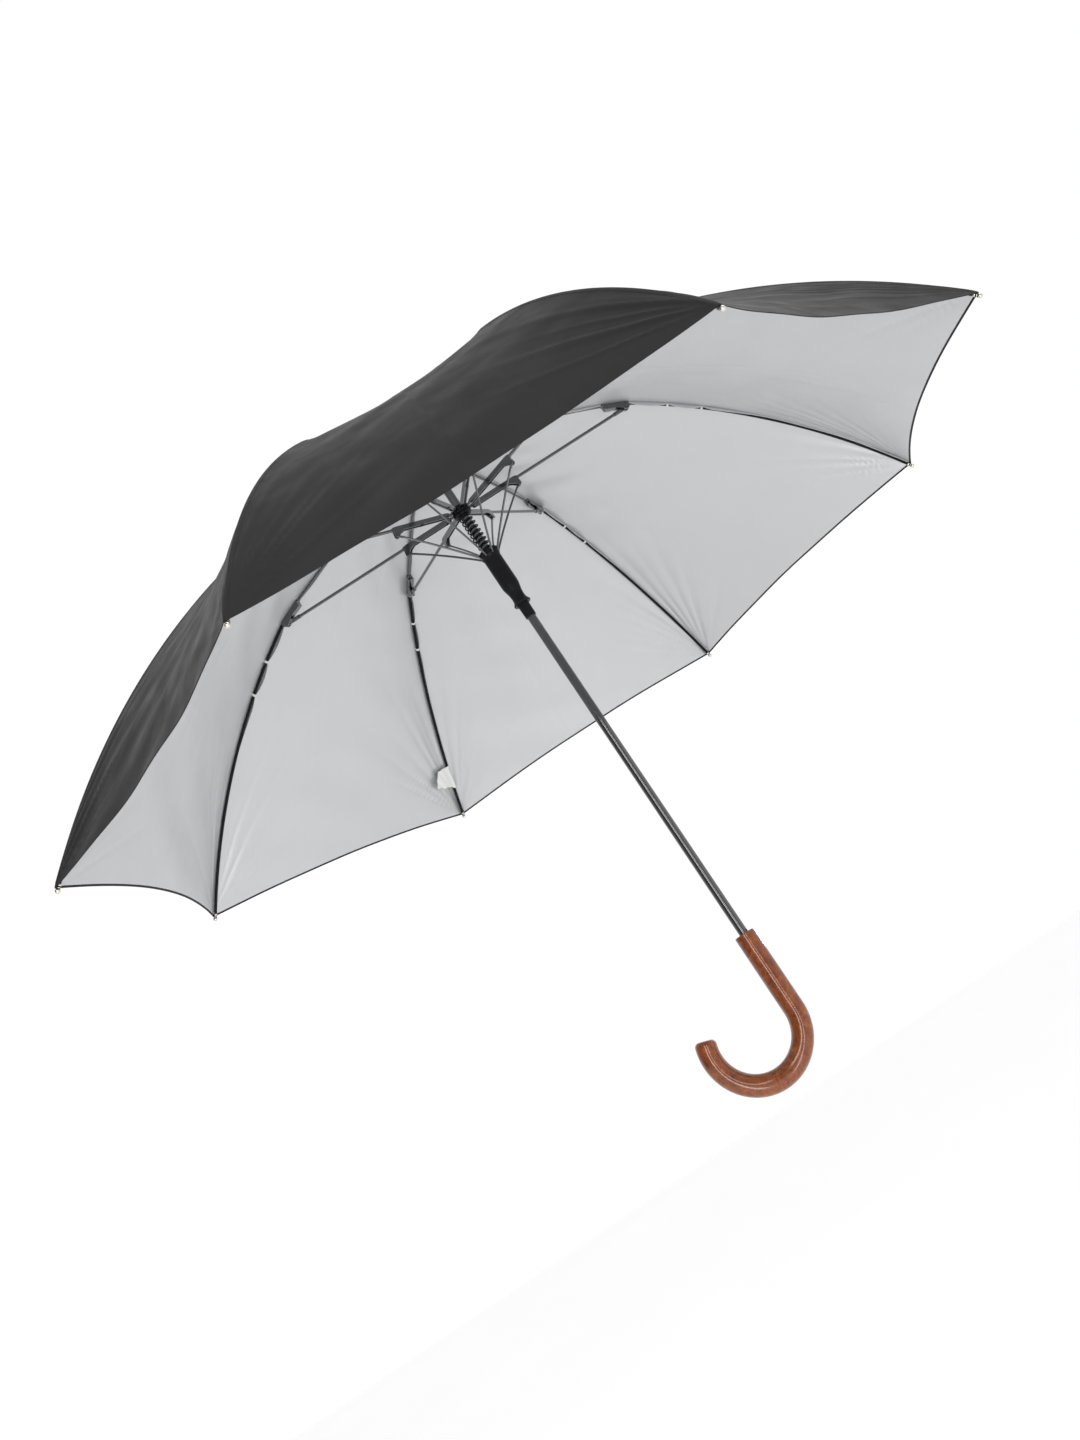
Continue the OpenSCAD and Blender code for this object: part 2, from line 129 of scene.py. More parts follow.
# ---------------------------------------------------------------- node materials
class Shader:
    """One Principled material and short helpers for its node tree."""

    def __init__(self, name, **values):
        self.material = bpy.data.materials.new(name)
        self.material.use_nodes = True
        self.tree = self.material.node_tree
        self.bsdf = self.tree.nodes["Principled BSDF"]
        for socket, value in values.items():
            self.bsdf.inputs[socket.replace("_", " ")].default_value = value

    def node(self, kind, **values):
        made = self.tree.nodes.new("ShaderNode" + kind)
        for key, value in values.items():
            if hasattr(made, key):
                setattr(made, key, value)
            else:
                made.inputs[key.replace("_", " ")].default_value = value
        return made

    def link(self, source, target):
        self.tree.links.new(source, target)

    def place(self, scale=(1, 1, 1), uv=False):
        """Coordinates: the object's own metres, or the cloth's metres down and across."""
        source = self.node("UVMap") if uv else self.node("TexCoord")
        mapping = self.node("Mapping", Scale=scale)
        self.link(source.outputs["UV" if uv else "Object"], mapping.inputs["Vector"])
        return mapping.outputs["Vector"]

    def noise(self, where, scale, detail=4.0, distortion=0.0):
        made = self.node("TexNoise", Scale=scale, Detail=detail, Distortion=distortion)
        self.link(where, made.inputs["Vector"])
        return made.outputs["Fac"]

    def ramp(self, source, stops):
        """stops: (place, value or colour) pairs."""
        made = self.node("ValToRGB")
        points = made.color_ramp.elements
        while len(points) < len(stops):
            points.new(0.5)
        for point, (at, value) in zip(points, stops):
            point.position = at
            point.color = (value, value, value, 1) if isinstance(value, float) else (*value, 1)
        self.link(source, made.inputs["Fac"])
        return made.outputs["Color"]

    def mix(self, factor, a, b, blend="MIX"):
        made = self.node("Mix", data_type="RGBA", blend_type=blend)
        for socket, value in ((made.inputs[0], factor), (made.inputs[6], a), (made.inputs[7], b)):
            if isinstance(value, bpy.types.NodeSocket):
                self.link(value, socket)
            else:
                socket.default_value = value if isinstance(value, float) else (*value, 1)
        return made.outputs[2]

    def bump(self, height, distance, strength=1.0, normal=None):
        made = self.node("Bump", Distance=distance, Strength=strength)
        self.link(height, made.inputs["Height"])
        if normal is not None:
            self.link(normal, made.inputs["Normal"])
        self.link(made.outputs["Normal"], self.bsdf.inputs["Normal"])
        return made.outputs["Normal"]

    def to(self, output, socket):
        self.link(output, self.bsdf.inputs[socket])


def weave(shader, pitch, where):
    """Height of a plain weave with the given thread pitch."""
    waves = []
    for direction in ("X", "Y"):
        made = shader.node("TexWave", bands_direction=direction, Scale=1 / (pitch * 6.2832), Distortion=0.6)
        made.inputs["Detail Scale"].default_value = 3.0
        shader.link(where, made.inputs["Vector"])
        waves.append(made.outputs["Fac"])
    return shader.mix(1.0, waves[0], waves[1], "MULTIPLY")


def cloth_material(name, colour, dark, rough, pull=0.5, **values):
    """Fine woven cloth: colour drifts softly, the weave and the long pull lines are in the bump."""
    shader = Shader(name, **values)
    metres = shader.place(uv=True)
    drift = shader.noise(metres, 9.0, 3.0)
    threads = weave(shader, 0.45 * MM, metres)
    tint = shader.mix(drift, dark, colour)
    shaded = shader.mix(0.18, tint, threads, "MULTIPLY")
    shader.to(shaded, "Base Color")
    shader.to(shader.ramp(shader.noise(metres, 26.0, 5.0), [(0.3, rough[0]), (0.7, rough[1])]), "Roughness")
    pulls = shader.noise(shader.place((60, 5, 1), uv=True), 1.0, 5.0, 0.4)
    soft = shader.bump(pulls, 0.35 * MM, pull)
    shader.bump(threads, 0.06 * MM, 0.6, soft)
    return shader.material


def plastic_material(name, colour, rough, grain=900.0, depth=0.05, **values):
    """Moulded plastic or lacquer with a fine grain and handling marks in the gloss."""
    shader = Shader(name, **values)
    metres = shader.place()
    fine = shader.noise(metres, grain, 3.0)
    marks = shader.noise(metres, 70.0, 6.0, 0.8)
    light = tuple(c * 1.5 + 0.001 for c in colour)
    shader.to(shader.mix(shader.ramp(marks, [(0.35, 0.0), (0.75, 1.0)]), colour, light), "Base Color")
    shader.to(shader.ramp(marks, [(0.3, rough[0]), (0.75, rough[1])]), "Roughness")
    shader.bump(fine, depth * MM, 0.35)
    return shader.material


def metal_material(name, colour, rough):
    """Bright metal with faint brushing and rubbed patches."""
    shader = Shader(name, Metallic=1.0)
    brushed = shader.noise(shader.place((900, 900, 60)), 1.0, 3.0)
    rubbed = shader.noise(shader.place(), 120.0, 5.0)
    shader.to(shader.mix(rubbed, tuple(c * 0.86 for c in colour), colour), "Base Color")
    shader.to(shader.ramp(rubbed, [(0.3, rough[0]), (0.7, rough[1])]), "Roughness")
    shader.bump(brushed, 0.02 * MM, 0.25)
    return shader.material


def wood_material():
    """Lacquered burl: mottled orange brown with dark eyes and swirls under a clear coat."""
    shader = Shader("burl_wood", Coat_Weight=1.0, Coat_Roughness=0.13, Specular_IOR_Level=0.1)
    metres = shader.place((1, 1, 0.7))
    swirl = shader.noise(metres, 75.0, 6.0, 2.6)
    mottle = shader.noise(metres, 210.0, 5.0, 1.4)
    fibre = shader.noise(shader.place((1, 1, 0.22)), 620.0, 4.0, 0.6)
    base = shader.ramp(swirl, [(0.26, (0.085, 0.015, 0.003)), (0.40, (0.175, 0.037, 0.006)),
                               (0.58, (0.235, 0.056, 0.009)), (0.78, (0.330, 0.098, 0.018))])
    spots = shader.ramp(mottle, [(0.34, 0.6), (0.5, 1.0)])
    spotted = shader.mix(0.4, base, spots, "MULTIPLY")
    streaks = shader.ramp(fibre, [(0.3, 0.45), (0.6, 1.0)])
    shader.to(shader.mix(0.2, spotted, streaks, "MULTIPLY"), "Base Color")
    shader.to(shader.ramp(mottle, [(0.3, 0.42), (0.7, 0.28)]), "Roughness")
    shader.bump(swirl, 0.02 * MM, 0.05)
    return shader.material


BLACK_CLOTH = cloth_material("black_cloth", (0.036, 0.035, 0.036), (0.028, 0.027, 0.028), (0.36, 0.50),
                             Specular_IOR_Level=0.03)
SILVER_CLOTH = cloth_material("silver_cloth", (0.625, 0.635, 0.65), (0.59, 0.60, 0.615), (0.30, 0.40),
                              pull=0.45, Metallic=0.5, Specular_IOR_Level=0.4)
STRAP_CLOTH = cloth_material("strap_cloth", (0.024, 0.024, 0.025), (0.014, 0.014, 0.015), (0.6, 0.8),
                             Specular_IOR_Level=0.2)
LABEL_CLOTH = cloth_material("label_cloth", (0.86, 0.86, 0.84), (0.80, 0.80, 0.78), (0.4, 0.55))
GLOSS_BLACK = plastic_material("gloss_black_steel", (0.004, 0.004, 0.005), (0.12, 0.22), depth=0.006,
                               Specular_IOR_Level=0.1, Coat_Weight=1.0, Coat_Roughness=0.07, Coat_IOR=2.0)
SATIN_BLACK = plastic_material("satin_black_plastic", (0.008, 0.008, 0.009), (0.30, 0.44),
                               Specular_IOR_Level=0.10)
ROD_BLACK = plastic_material("black_rod", (0.006, 0.006, 0.008), (0.24, 0.36), grain=300.0,
                             Specular_IOR_Level=0.10)
NICKEL = metal_material("nickel", (0.72, 0.69, 0.62), (0.12, 0.24))
CHROME = metal_material("chrome", (0.78, 0.79, 0.81), (0.18, 0.30))
SPRING_STEEL = metal_material("spring_steel", (0.55, 0.55, 0.57), (0.22, 0.34))
THREAD = cloth_material("thread", (0.80, 0.80, 0.79), (0.70, 0.70, 0.69), (0.6, 0.8))
WOOD = wood_material()


# ---------------------------------------------------------------- mesh helpers
def mesh_piece(name, points, faces, materials, slots=None, uv=None):
    """A smooth-shaded mesh object from points and faces; slots gives each face its material."""
    data = bpy.data.meshes.new(name)
    data.from_pydata([tuple(p) for p in points], [], [tuple(f) for f in faces])
    for made in materials:
        data.materials.append(made)
    if slots is not None:
        data.polygons.foreach_set("material_index", slots)
    data.polygons.foreach_set("use_smooth", [True] * len(data.polygons))
    layer = data.uv_layers.new(name="metres")
    if uv is None:
        uv = [(p[0], p[2]) for p in points]
    corners = np.empty(len(data.loops), np.int32)
    data.loops.foreach_get("vertex_index", corners)
    layer.data.foreach_set("uv", np.asarray(uv, np.float32)[corners].ravel())
    data.update()
    made = bpy.data.objects.new(name, data)
    bpy.context.scene.collection.objects.link(made)
    return made


def tube(name, path, radius, material, sides=10, closed=False):
    """A round tube swept along a list of points, with a frame that does not twist."""
    path = [Vector(p) for p in path]
    count = len(path)
    points, faces = [], []
    normal = None
    for i, p in enumerate(path):
        ahead = path[(i + 1) % count] if closed or i < count - 1 else p
        behind = path[i - 1] if closed or i > 0 else p
        along = (ahead - behind).normalized()
        if normal is None:
            normal = along.orthogonal()
        normal = (normal - along * normal.dot(along)).normalized()
        third = along.cross(normal)
        width = radius(i / (count - 1)) if callable(radius) else radius
        for j in range(sides):
            a = 2 * math.pi * j / sides
            points.append(p + (normal * math.cos(a) + third * math.sin(a)) * width)
    for i in range(count if closed else count - 1):
        for j in range(sides):
            k = (j + 1) % sides
            n = (i + 1) % count
            faces.append((i * sides + j, i * sides + k, n * sides + k, n * sides + j))
    if not closed:
        faces.append(tuple(range(sides))[::-1])
        faces.append(tuple(range((count - 1) * sides, count * sides)))
    return mesh_piece(name, points, faces, [material])


def lathe(name, profile, origin, axis, material, sides=32):
    """A turned solid: profile is (radius, distance along the axis) from one end's centre to the other's."""
    turn = Vector(axis).to_track_quat("Z", "Y")
    origin = Vector(origin)
    points, rings = [], []
    for radius, along in profile:
        if radius < 1e-7:
            rings.append([len(points)])
            points.append(origin + turn @ Vector((0, 0, along)))
            continue
        rings.append(list(range(len(points), len(points) + sides)))
        for j in range(sides):
            a = 2 * math.pi * j / sides
            points.append(origin + turn @ Vector((radius * math.cos(a), radius * math.sin(a), along)))
    faces = []
    for low, high in zip(rings, rings[1:]):
        for j in range(sides):
            k = (j + 1) % sides
            if len(low) == 1:
                faces.append((low[0], high[k], high[j])[::-1])
            elif len(high) == 1:
                faces.append((low[j], low[k], high[0]))
            else:
                faces.append((low[j], low[k], high[k], high[j]))
    return mesh_piece(name, points, faces, [material])


def helix(radius, low, high, turns, per_turn=28):
    """Points of a coil whose first and last half turns lie flat."""
    points = []
    steps = int(turns * per_turn)
    for i in range(steps + 1):
        a = 2 * math.pi * i / per_turn
        share = min(1.0, max(0.0, (i - per_turn / 2) / (steps - per_turn)))
        points.append((radius * math.cos(a), radius * math.sin(a), low + (high - low) * share))
    return points


# ---------------------------------------------------------------- camera, light and floor
CAMERA_PLACE = (0.0774, 1.4009, 0.0109)
CAMERA_FORWARD = (-0.0453, -0.9477, 0.3160)
CAMERA_LENS = 33.56
CAMERA_SHIFT = (0.024, -0.087)
CAMERA_ROLL = -33.7
DIM_SIDE = (0.45, 0.75, 0.48)
WORLD_DIM = (0.05, 0.8, 1.02, 0.22)
FLOOR_GLOW = 0.35
LIGHTS = [("box_left", (0.42, 1.75, 0.0), (0.26, 2.4), 15.0),
          ("box_right", (-0.28, 1.75, 0.0), (0.16, 2.4), 8.0),
          ("top_box", (-1.2, 0.6, 2.2), (1.2, 1.2), 16.0)]


def studio():
    camera = bpy.data.objects.new("camera", bpy.data.cameras.new("camera"))
    bpy.context.scene.collection.objects.link(camera)
    camera.location = CAMERA_PLACE
    camera.data.lens = CAMERA_LENS
    camera.data.sensor_width = 36
    camera.data.shift_x, camera.data.shift_y = CAMERA_SHIFT
    camera.data.clip_start = 0.05
    forward = Vector(CAMERA_FORWARD)
    roll = Quaternion((0, 0, 1), math.radians(CAMERA_ROLL))
    camera.rotation_mode = "QUATERNION"
    camera.rotation_quaternion = forward.to_track_quat("-Z", "Y") @ roll
    bpy.context.scene.camera = camera

    world = bpy.data.worlds.new("white_studio")
    world.use_nodes = True
    tree = world.node_tree
    back = tree.nodes["Background"]
    back.inputs["Color"].default_value = (1, 1, 1, 1)
    toward = tree.nodes.new("ShaderNodeVectorMath")
    toward.operation = "DOT_PRODUCT"
    toward.inputs[1].default_value = DIM_SIDE
    dim = tree.nodes.new("ShaderNodeMapRange")
    for socket, value in zip(("From Min", "From Max", "To Min", "To Max"), WORLD_DIM):
        dim.inputs[socket].default_value = value
    tree.links.new(tree.nodes.new("ShaderNodeTexCoord").outputs["Generated"], toward.inputs[0])
    tree.links.new(toward.outputs["Value"], dim.inputs["Value"])
    tree.links.new(dim.outputs["Result"], back.inputs["Strength"])
    bpy.context.scene.world = world
    bpy.context.scene.view_settings.view_transform = "Standard"

    middle = Vector((0, 0, 0.45))
    for name, place, size, power in LIGHTS:
        lamp = bpy.data.objects.new(name, bpy.data.lights.new(name, "AREA"))
        lamp.data.shape = "RECTANGLE"
        lamp.data.size, lamp.data.size_y = size
        lamp.data.energy = power
        lamp.location = place
        lamp.rotation_mode = "QUATERNION"
        lamp.rotation_quaternion = (middle - Vector(place)).to_track_quat("-Z", "Y")
        bpy.context.scene.collection.objects.link(lamp)

    half, low = 9.0, -0.9
    corners = [(-half, -half, low), (half, -half, low), (half, half, low), (-half, half, low)]
    shader = Shader("pale_floor", Roughness=0.8, Emission_Color=(1, 1, 1, 1), Emission_Strength=FLOOR_GLOW)
    tone = shader.noise(shader.place(), 1.5, 3.0)
    shader.to(shader.mix(tone, (0.90, 0.90, 0.90), (0.94, 0.94, 0.94)), "Base Color")
    mesh_piece("floor", corners, [(0, 1, 2, 3)], [shader.material])


studio()


# ---------------------------------------------------------------- canopy cloth
TABLE_S = np.linspace(0, RIB_LENGTH, 1271)
TABLE_R, TABLE_Z = rib_line(TABLE_S)


def smoothed(values, reach):
    """The values averaged over a bell of the given reach in metres, with straight run-outs at the ends."""
    step = TABLE_S[1]
    n = int(3 * reach / step)
    bell = np.exp(-0.5 * (np.arange(-n, n + 1) * step / reach) ** 2)
    before = values[0] - (values[1] - values[0]) * np.arange(n, 0, -1)
    after = values[-1] + (values[-1] - values[-2]) * np.arange(1, n + 1)
    return np.convolve(np.concatenate([before, values, after]), bell / bell.sum(), "valid")


SOFTENING = 28 * MM
SOFT_R, SOFT_Z = smoothed(TABLE_R, SOFTENING), smoothed(TABLE_Z, SOFTENING)
SOFT_A = np.arctan2(-np.gradient(SOFT_Z), np.gradient(SOFT_R))


def crease_set():
    """Creases that fan out from one side of a tip: angle from the rib, width, height and reach."""
    fan = []
    for angle in np.radians((6.5, 12.5, 20.0, 29.0, 41.0, 55.0)):
        lean = angle * RANDOM.uniform(0.85, 1.15)
        width = math.radians(RANDOM.uniform(1.5, 2.6)) * (1 + 0.5 * angle)
        height = RANDOM.uniform(0.9, 2.0) * MM * (1.15 - 0.6 * angle)
        fan.append((lean, width, height, RANDOM.uniform(0.11, 0.24)))
    return fan


CREASES = {(k, side): crease_set() for k in RIBS for side in (-1, 1)}
WAVES = [(RANDOM.integers(9, 26), RANDOM.uniform(4, 15), RANDOM.uniform(0, 6.28), RANDOM.uniform(0.15, 0.35))
         for _ in range(7)]
PRESSED = [(k + RANDOM.uniform(0.2, 0.8), RANDOM.uniform(0.10, 0.22) * MM) for k in RIBS for _ in range(3)]


CREASE_RISE = 0.035


def relief(u, s):
    """How far the cloth stands off its smooth shape: creases at the tips, slow waves and pressed folds."""
    width = CHORD * np.interp(s, TABLE_S, TABLE_R)
    panel = np.floor(u)
    v = u - panel
    free = np.sin(np.pi * v) ** 0.7
    height = np.zeros_like(u)
    for rib, side in CREASES:
        part = (panel == rib) if side > 0 else (panel == rib - 1) | ((rib == 1) & (panel == 8))
        away = (v if side > 0 else 1 - v) * width
        down = np.maximum(RIB_LENGTH - s, 1e-5)
        reach_out = np.hypot(away, down)
        angle = np.arctan2(away, down)
        fade = np.where(part, np.clip(1 - (away / (0.5 * width)) ** 4, 0, 1), 0.0)
        for lean, wide, high, reach in CREASES[rib, side]:
            broad = np.maximum(wide * reach_out, 2.6 * MM)
            bell = np.exp(-((angle - lean) * reach_out / broad) ** 2)
            rise = 1 - np.exp(-reach_out / CREASE_RISE)
            height += fade * high * bell * rise * np.exp(-(reach_out / reach) ** 2)
    turn = 2 * np.pi * u / 8
    for round_count, along, phase, size in WAVES:
        height += free * size * MM * np.sin(round_count * turn + along * s * 6.28 + phase)
    for place, high in PRESSED:
        gap = (u - place) * width
        height += free * high * np.exp(-(gap / (1.8 * MM)) ** 2) * np.clip(s / 0.1, 0, 1)
    return height


def surface(u, s):
    """World points of the cloth's middle. u counts ribs round the shaft (whole numbers lie on ribs)."""
    u = 1 + (u - 1) % 8
    k = np.round(u)
    t = u - k
    q = 4 * np.abs(t) * (1 - np.abs(t))
    drawn = s * (1 - HEM_INSET * q)
    soft = np.clip(q * 3, 0, 1)
    r0 = (1 - soft) * np.interp(drawn, TABLE_S, TABLE_R) + soft * np.interp(drawn, TABLE_S, SOFT_R)
    z0 = (1 - soft) * np.interp(drawn, TABLE_S, TABLE_Z) + soft * np.interp(drawn, TABLE_S, SOFT_Z)
    a = np.interp(drawn, TABLE_S, SOFT_A)
    h = CANOPY_RISE - PANEL_SAG * q * CHORD * r0 + relief(u, s)
    r = r0 + h * np.sin(a)
    z = z0 + h * np.cos(a)
    x = r * (1 - np.abs(t) * (1 - math.cos(math.pi / 4)))
    y = r * t * math.sin(math.pi / 4)
    turn = np.radians(HALF_SECTOR + 45 * (k - 1))
    return np.stack([x * np.cos(turn) - y * np.sin(turn), x * np.sin(turn) + y * np.cos(turn), z], -1)


def surface_normal(u, s):
    du = 1.5 * MM / (CHORD * np.interp(s, TABLE_S, TABLE_R))
    ds = 1.5 * MM
    across = surface(u + du, s) - surface(u - du, s)
    down = surface(u, np.minimum(s + ds, RIB_LENGTH)) - surface(u, s - ds)
    n = np.cross(down, across)
    return n / np.linalg.norm(n, axis=-1, keepdims=True)


def shell(name, middle, normal, thick, materials, uv, lift=0.0, hem_rows=0):
    """A thin closed sheet about a grid of points: first material outside and on the rim, last one inside."""
    rows, cols = middle.shape[:2]
    thick = np.broadcast_to(thick, (rows, cols))
    lift = np.broadcast_to(lift, (rows, cols))
    outer = middle + normal * (lift + thick / 2)[..., None]
    inner = middle + normal * (lift - thick / 2)[..., None]
    points = np.concatenate([outer.reshape(-1, 3), inner.reshape(-1, 3)])
    index = np.arange(rows * cols).reshape(rows, cols)
    a, b, c, d = index[:-1, :-1], index[1:, :-1], index[1:, 1:], index[:-1, 1:]
    top = np.concatenate([np.stack([a, b, c], -1).reshape(-1, 3), np.stack([a, c, d], -1).reshape(-1, 3)])
    low = top[:, ::-1] + rows * cols
    ring = np.concatenate([index[0, :], index[1:, -1], index[-1, -2::-1], index[-2:0:-1, 0]])
    after = np.roll(ring, -1)
    rim = np.stack([ring, after, after + rows * cols, ring + rows * cols], -1)
    faces = [*top, *low, *rim]
    inside = np.zeros((rows - 1, cols - 1), int) + (len(materials) - 1)
    if hem_rows:
        inside[-hem_rows:] = 0
    slots = np.concatenate([np.zeros(len(top), int), np.tile(inside.ravel(), 2), np.zeros(len(rim), int)])
    uv = uv.reshape(-1, 2)
    made = mesh_piece(name, points, faces, materials, slots.tolist(), np.concatenate([uv, uv]))
    flat = normal.reshape(-1, 3)
    corner = np.concatenate([flat[top.ravel()], -flat[(low - rows * cols).ravel()], np.zeros((rim.size, 3))])
    made.data.normals_split_custom_set(corner.tolist())
    return made


def sheet_piece(name, u, s, thick, materials, lift=0.0, hem_rows=0):
    """A thin closed piece of the canopy over the grid u, s."""
    width = CHORD * np.interp(s, TABLE_S, TABLE_R)
    uv = np.stack([(u - np.round(u.mean())) * width, s], -1)
    return shell(name, surface(u, s), surface_normal(u, s), thick, materials, uv, lift, hem_rows)


def patch(name, middle, thick, materials):
    """A thin closed cloth about any grid of points, with its weave measured along the grid."""
    down, across = np.gradient(middle, axis=0), np.gradient(middle, axis=1)
    normal = np.cross(down, across)
    normal /= np.linalg.norm(normal, axis=-1, keepdims=True)
    wide, long = np.linalg.norm(across, axis=-1), np.linalg.norm(down, axis=-1)
    uv = np.stack([np.cumsum(wide, 1), np.cumsum(long, 0)], -1)
    return shell(name, middle, normal, thick, materials, uv)


def cross_steps(count):
    """Shares from 0 at the rib to 1 at the panel's middle, close together near the rib."""
    x = np.linspace(0, 1, count)
    return 0.35 * x + 0.65 * x ** 1.7


def gather(made):
    """Gives the piece its own copy of its mesh."""
    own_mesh(made)


CLOTH_THICK, HEM_THICK = 0.45, 0.85
HEM_WIDTH = 7.5 * MM


def canopy_part(k, side, part, trims=()):
    """Half of one rib's share of the canopy, inside or beyond the rib's joint."""
    outer = part == "outer"
    if outer:
        hem = RIB_LENGTH - np.array([8.0, 7.4, 4.5, 2.4, 0.0]) * MM
        rows = np.concatenate([np.linspace(INNER_LEN, hem[0], 74)[:-1], hem])
    else:
        rows = np.linspace(CLOTH_START, INNER_LEN, 46)
    share = cross_steps(44 if outer else 26) * 0.5
    t = share * side if side > 0 else share[::-1] * side
    u, s = np.meshgrid(k + t, rows)
    thick = np.where(RIB_LENGTH - s < HEM_WIDTH, HEM_THICK, CLOTH_THICK) * MM
    name = f"canopy_{k}_{'left' if side > 0 else 'right'}_{part}"
    made = sheet_piece(name, u, s, thick, [BLACK_CLOTH, SILVER_CLOTH], hem_rows=1 if outer else 0)
    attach(made, f"rib_tip_{k}" if outer else f"rib_{k}")
    if outer:
        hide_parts(f"canopy_{k}")
    gather(made)


def seam(k):
    """The felled seam over one rib: a narrow double strip."""
    s = np.linspace(14 * MM, RIB_LENGTH - 1 * MM, 130)
    cut = np.array([-3.6, -3.0, -1.5, 0, 1.5, 3.0, 3.6]) * MM
    width = CHORD * np.interp(s, TABLE_S, TABLE_R)
    across = np.clip(cut[None, :] / width[:, None], -0.45, 0.45)
    u = k + across
    grid_s = np.repeat(s[:, None], len(cut), 1)
    edge = np.abs(cut) > 3.3 * MM
    lift = np.repeat(np.where(edge, 0.26, 0.42)[None, :] * MM, len(s), 0)
    made = sheet_piece(f"seam_{k}", u, grid_s, np.full_like(u, 0.24 * MM), [BLACK_CLOTH], lift=lift)
    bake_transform(made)
    return made


def seam_edge(k, near, far, body, hang):
    """The seam's raw edges inside: a narrow silver strip beside the rod, hang(s) millimetres deep."""
    stations = np.linspace(near, far, int((far - near) / (2.2 * MM)))
    grid = []
    for s in stations:
        deep = hang(s) * MM
        rows = ((1.6 * MM, 2.0), (2.1 * MM - deep * 0.35, 2.5),
                (2.2 * MM - deep * 0.7, 2.65), (2.3 * MM - deep, 2.2))
        grid.append([on_rib(k, s, h, -b * MM) for h, b in rows])
    made = patch(f"{body}_seam_edge", np.array(grid), 0.3 * MM, [SILVER_CLOTH])
    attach(made, body)
    return made


def hang_outer(s):
    """Lens-shaped between the thread ties, then lower and lower towards the tip."""
    beyond = s - INNER_LEN
    for start, end in zip((4 * MM,) + TIES, TIES):
        if beyond < end:
            return 2.6 + 4.4 * math.sin(math.pi * (beyond - start) / (end - start)) ** 0.7
    fade = (beyond - TIES[-1]) / 0.06
    bulge = 4.2 * math.sin(min(1.0, fade * 3) * math.pi / 2) * math.exp(-fade)
    return 2.0 + bulge + 0.4 * math.sin(beyond * 60)


def hang_inner(s):
    return 3.2 + 0.6 * math.sin(s * 42) + 0.4 * math.sin(s * 97 + 1)


TIES = (55 * MM, 99 * MM)
for rib in RIBS:
    edges = [seam_edge(rib, INNER_LEN + 5 * MM, RIB_LENGTH - 6 * MM, f"rib_tip_{rib}", hang_outer),
             seam_edge(rib, 16 * MM, INNER_LEN - 32 * MM, f"rib_{rib}", hang_inner)]
    canopy_part(rib, 1, "outer", trims=[seam(rib)])
    canopy_part(rib, -1, "outer", trims=edges[:1])
    canopy_part(rib, 1, "inner")
    canopy_part(rib, -1, "inner", trims=edges[1:])


def beside_rib(k, s, b, drop):
    """World point under the canopy at s along rib k and b across, the given drop inside the cloth."""
    u = np.array(k + b / (CHORD * float(np.interp(s, TABLE_S, TABLE_R))))
    at = np.array(s)
    return surface(u, at) - surface_normal(u, at) * drop


# millimetres from the tip along rib 7, and across it
LABEL_FOOT, LABEL_TALL, LABEL_SKEW = 82, 37, 6
LABEL_PAST_ROD, LABEL_WIDE, LABEL_FLARE = 2.6, 28.4, 13


def label():
    """Blank woven label hanging askew inside the canopy, across the rod of rib 7."""
    grid = []
    for i in range(15):
        v = i / 14
        row = []
        for j in range(13):
            w = j / 12
            s = RIB_LENGTH - (LABEL_FOOT - LABEL_TALL * v - LABEL_SKEW * w * (1 - 2 * v)) * MM
            b = (-LABEL_PAST_ROD + w * (LABEL_WIDE + LABEL_FLARE * v)) * MM
            row.append(beside_rib(7, s, b, (5.7 + 1.6 * w * v + 0.9 * math.sin(3.1 * w) + 0.5 * v) * MM))
        grid.append(row)
    made = patch("label", np.array(grid), 0.5 * MM, [LABEL_CLOTH])
    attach(made, "rib_tip_7")
    gather(made)
    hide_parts("care_label")


STRAP_DEGREES = (14.2, 27.1)


def closure_strap():
    """Double-layer strap pressed on the seam of rib 6, with stitched edges and a rounded free end."""
    s0, s1 = (INNER_LEN + OUTER_LEN * turned / OUTER_BEND_DEGREES for turned in STRAP_DEGREES)
    rows = np.linspace(0, 1, 64)
    grid = []
    for v in rows:
        s = s0 + (s1 - s0) * v
        half = 10 * MM * (1 if v < 0.93 else math.sqrt(max(0.02, 1 - ((v - 0.93) / 0.07) ** 2)))
        row = []
        for w in np.linspace(-1, 1, 17):
            u = np.array(6 + w * half / (CHORD * float(np.interp(s, TABLE_S, TABLE_R))))
            at = np.array(s)
            stitch = 0.16 * math.exp(-((abs(w) - 0.84) / 0.05) ** 2)
            rise = 1.15 - stitch + 0.12 * math.sin(s * 150 + w) - 0.25 * abs(w) ** 6
            row.append(surface(u, at) + surface_normal(u, at) * rise * MM)
        grid.append(row)
    made = patch("closure_strap_cloth", np.array(grid), 0.8 * MM, [STRAP_CLOTH])
    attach(made, "rib_tip_6")
    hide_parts("closure_strap")


def crown_cap():
    """Small disc of canopy cloth under the ferrule, with a pinked edge, settled on the crown."""
    grid = []
    for i in range(9):
        v = i / 8
        row = []
        for j in range(97):
            a = 2 * math.pi * j / 96
            r = (5.6 + 11.0 * v) * MM + (0.3 * MM * math.cos(24 * a) if i == 8 else 0)
            z = CROWN_Z - (5.0 + 0.35 * v + 1.1 * v ** 2 + 0.15 * v * math.sin(8 * a + 1)) * MM
            row.append((r * math.cos(a), r * math.sin(a), z))
        grid.append(row)
    made = patch("crown_cap_cloth", np.array(grid), 0.45 * MM, [STRAP_CLOTH])
    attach(made, "shaft")
    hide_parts("crown_cap")


label()
closure_strap()
crown_cap()


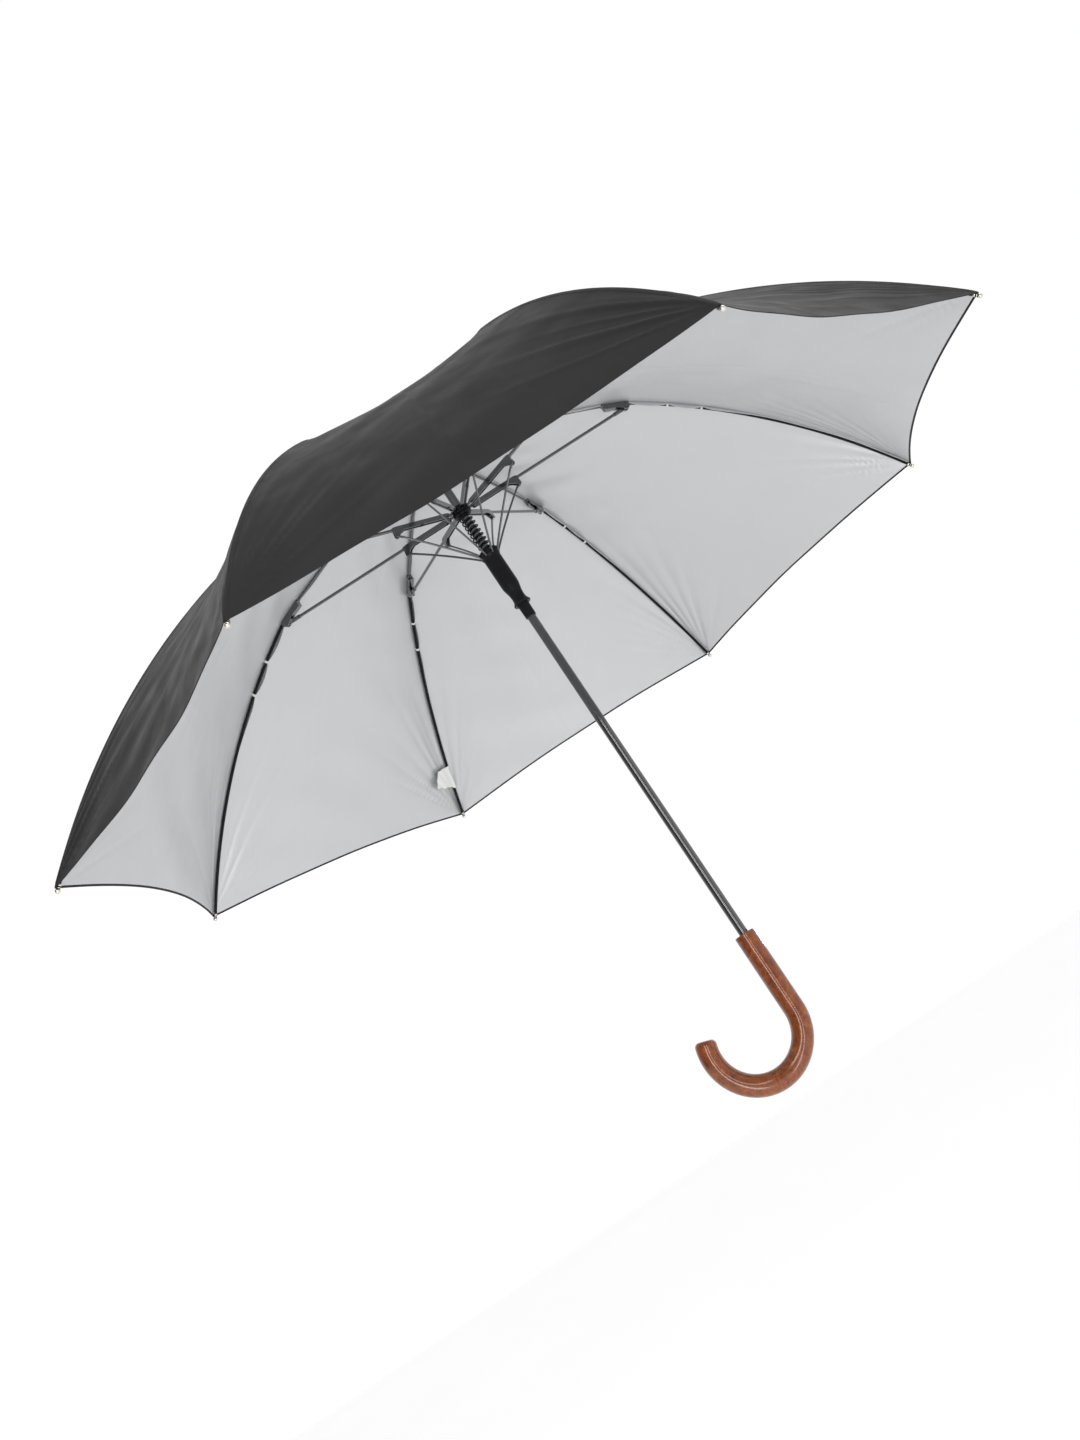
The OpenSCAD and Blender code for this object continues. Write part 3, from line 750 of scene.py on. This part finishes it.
# ---------------------------------------------------------------- metal and plastic pieces
def ball_tip(k):
    """Nickel ferrule and ball at the rib's end, with the groove that the hem is tied into."""
    out, _ = rib_axes(k)
    a = OUTER_SLOPE + OUTER_BEND
    axis = out * math.cos(a) - Vector((0, 0, math.sin(a)))
    ball, centre = 2.56, 2.0
    profile = [(0, -4.3), (1.9, -4.3), (2.12, -4.05), (2.12, -2.6), (1.86, -2.3), (1.86, -1.5),
               (2.12, -1.2), (2.12, -0.6)]
    for degrees in range(-50, 91, 10):
        turn = math.radians(degrees)
        r = max(0.0, ball * math.cos(turn)) if degrees < 90 else 0
        profile.append((r, centre + ball * math.sin(turn)))
    points = [(r * MM, x * MM) for r, x in profile]
    made = lathe(f"ball_tip_{k}", points, on_rib(k, RIB_LENGTH), axis, NICKEL, 28)
    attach(made, f"rib_tip_{k}")


def thread_tie(k, s, number):
    """Turns of pale thread that hold the seam to the rib."""
    out, side = rib_axes(k)
    a = float(slope(np.array(s)))
    normal = out * math.sin(a) + Vector((0, 0, math.cos(a)))
    along = out * math.cos(a) - Vector((0, 0, math.sin(a)))
    middle = on_rib(k, s, 0.55 * MM)
    path = []
    for i in range(121):
        turn = 12 * math.pi * i / 120
        rise = math.cos(turn) * (2.05 if math.cos(turn) > 0 else 2.7)
        path.append(middle + side * 2.3 * MM * math.sin(turn) + normal * rise * MM
                    + along * (i / 120 - 0.5) * 2.9 * MM)
    made = tube(f"thread_tie_{k}_{number}", path, 0.29 * MM, THREAD, 6)
    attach(made, f"rib_tip_{k}")


def damper():
    path = helix(6.9 * MM, RUNNER_TOP - 13 * MM, HUB_Z - 6.9 * MM, 12)
    made = tube("damper_coil", path, 0.9 * MM, SATIN_BLACK, 10)
    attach(made, "hub")
    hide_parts("damper_spring")
    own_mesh(made)


def button_return():
    """Small return spring behind the push button."""
    low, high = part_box("button_spring")
    wire = 0.22 * MM
    radius = (high[2] - low[2]) / 2 - wire
    y, z = (low[1] + high[1]) / 2, (low[2] + high[2]) / 2
    coil = helix(radius, wire, high[0] - low[0] - wire, 4)
    path = [(high[0] - along, y + b, z + a) for a, b, along in coil]
    made = tube("button_return_coil", path, wire, SPRING_STEEL, 8)
    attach(made, "shaft")
    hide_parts("button_spring")
    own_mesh(made)


for rib in RIBS:
    ball_tip(rib)
    for number, beyond in enumerate(TIES):
        thread_tie(rib, INNER_LEN + beyond, number + 1)
damper()
button_return()

# ---------------------------------------------------------------- finishes of the frame's own solids
FINISHES = {"black_steel": GLOSS_BLACK, "black_plastic": SATIN_BLACK, "black_rod": ROD_BLACK,
            "cloth": BLACK_CLOTH, "strap_cloth": STRAP_CLOTH, "label": LABEL_CLOTH, "wood": WOOD,
            "chrome": CHROME, "spring_steel": SPRING_STEEL}
for part in frame["record"]["subparts"]:
    node = frame["nodes"][part["node"]]
    for holder in node.material_slots:
        holder.link = "OBJECT"
        holder.material = FINISHES[part["material_slot"]]
